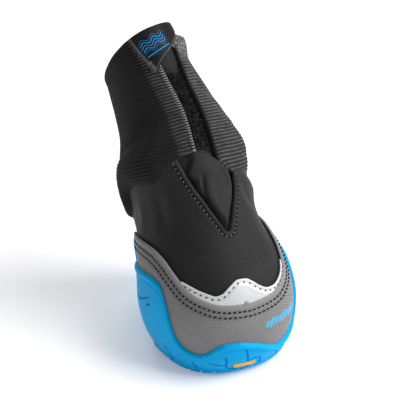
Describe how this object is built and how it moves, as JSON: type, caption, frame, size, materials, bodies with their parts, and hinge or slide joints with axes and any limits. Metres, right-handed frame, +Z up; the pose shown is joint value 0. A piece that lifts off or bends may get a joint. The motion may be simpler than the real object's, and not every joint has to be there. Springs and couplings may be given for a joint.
{
  "type": "dog boot",
  "caption": "Dog boot with a rubber cup sole, a hollow softshell upper with a coated toe bumper and reflective trim, and a ribbed stretch gaiter slit in front.",
  "frame": {"origin": "on the floor under the middle of the boot's box", "axes": "+Z up, the toe towards -Y, the heel towards +Y, +X to the viewer's right when the toe faces the viewer"},
  "size_m": [0.0722, 0.1224, 0.1465],
  "materials": {
    "rubber": "satin blue rubber with small light flecks",
    "amber_rubber": "matt amber rubber",
    "insole": "dark grey felt",
    "softshell": "matt black softshell cloth",
    "bumper": "grey mesh with a satin coating",
    "reflective": "silver reflective film",
    "knit": "charcoal ribbed knit",
    "loop_pile": "black fuzzy loop pile",
    "label": "black woven tape with a blue motif"
  },
  "bodies": {
    "root": {"outsole": "rubber", "sole_inlay": "amber_rubber", "toe_inlay": "amber_rubber", "insole": "insole", "upper": "softshell", "tongue": "softshell", "toe_bumper": "bumper", "reflective_trim": "reflective", "gaiter": "knit", "closure_strip": "loop_pile", "pull_tab": "label"}
  },
  "joints": []
}
